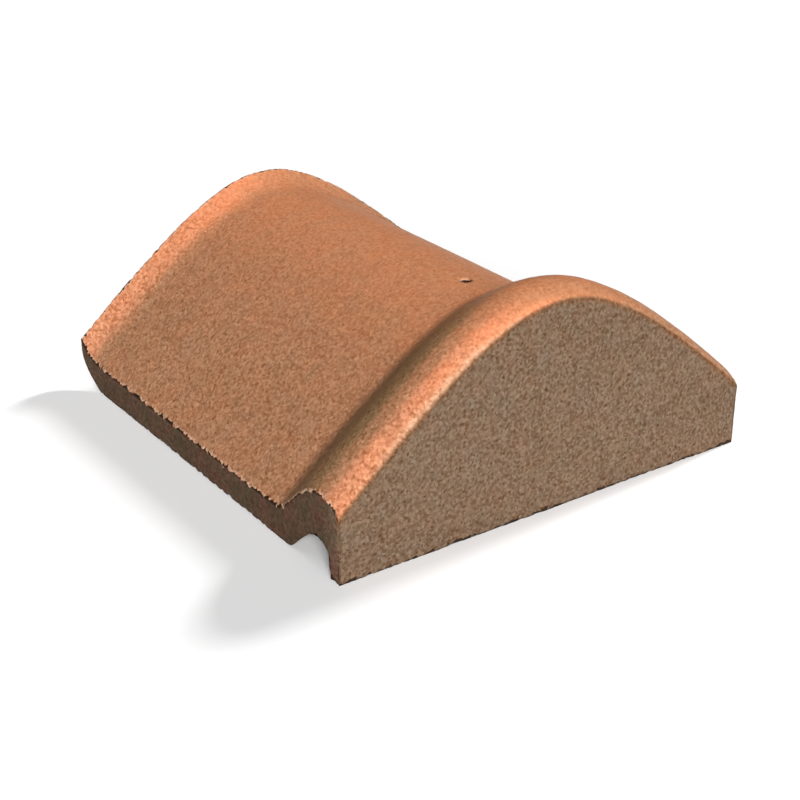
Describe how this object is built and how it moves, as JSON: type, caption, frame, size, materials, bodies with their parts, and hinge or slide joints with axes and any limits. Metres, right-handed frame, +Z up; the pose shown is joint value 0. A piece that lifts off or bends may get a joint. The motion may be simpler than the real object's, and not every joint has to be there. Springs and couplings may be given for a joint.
{
  "type": "ridge tile",
  "caption": "Closed-end saddle ridge tile: an arched concrete shell with a round roll behind its end plate, an upturned lip and a nail hole, for starting or ending a roof ridge.",
  "frame": {"origin": "middle of the tile's footprint, on the plane that its long edges and end plate stand on", "axes": "+Y along the ridge from the closed end to the open lip, +X to the right, +Z up"},
  "size_m": [0.28, 0.306, 0.1292],
  "materials": {
    "coated_concrete": "matt granular concrete, terracotta coating on the weather face, bare grey-brown concrete on the end plate and cut edges"
  },
  "bodies": {
    "root": {"ridge_tile": "coated_concrete"}
  },
  "joints": []
}
